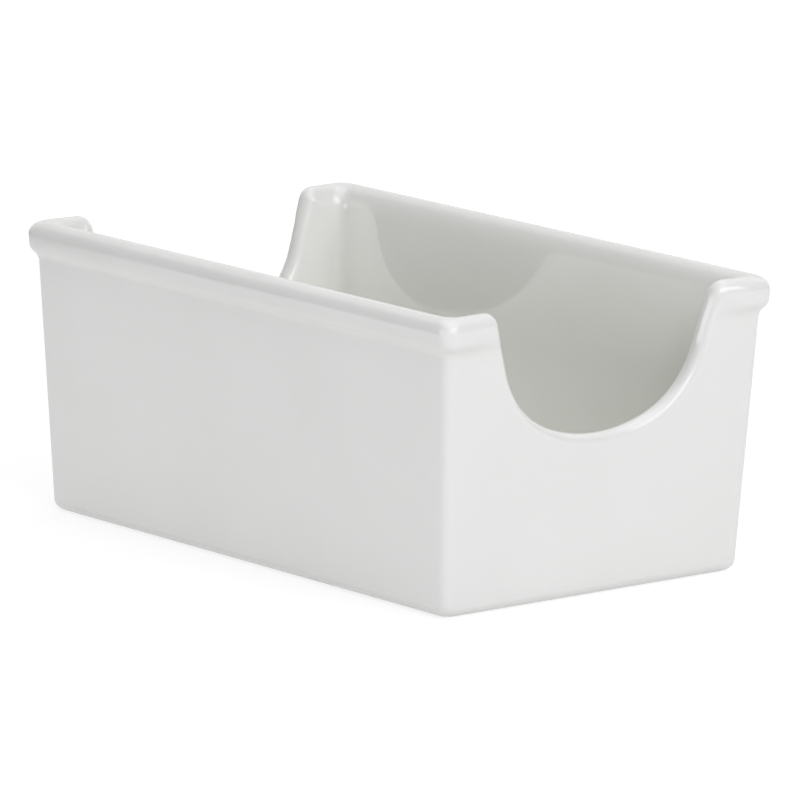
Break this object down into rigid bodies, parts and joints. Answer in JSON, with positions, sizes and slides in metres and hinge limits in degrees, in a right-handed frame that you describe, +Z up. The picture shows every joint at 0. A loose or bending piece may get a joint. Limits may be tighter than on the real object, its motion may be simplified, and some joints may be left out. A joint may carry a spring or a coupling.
{
  "type": "sugar packet holder",
  "caption": "Open rectangular tub for sugar packets, with drafted walls, a rolled rim and a rounded finger notch in each end wall, moulded in glossy white melamine.",
  "frame": {"origin": "centre of the face that the holder rests on, on the table plane", "axes": "+Z up from the table to the crown of the rim, +X along the length towards one notched end wall, +Y across the width"},
  "size_m": [0.1276, 0.0808, 0.057],
  "materials": {
    "white_melamine": "glossy moulded melamine, a very slightly warm white"
  },
  "bodies": {
    "root": {"holder": "white_melamine"}
  },
  "joints": []
}
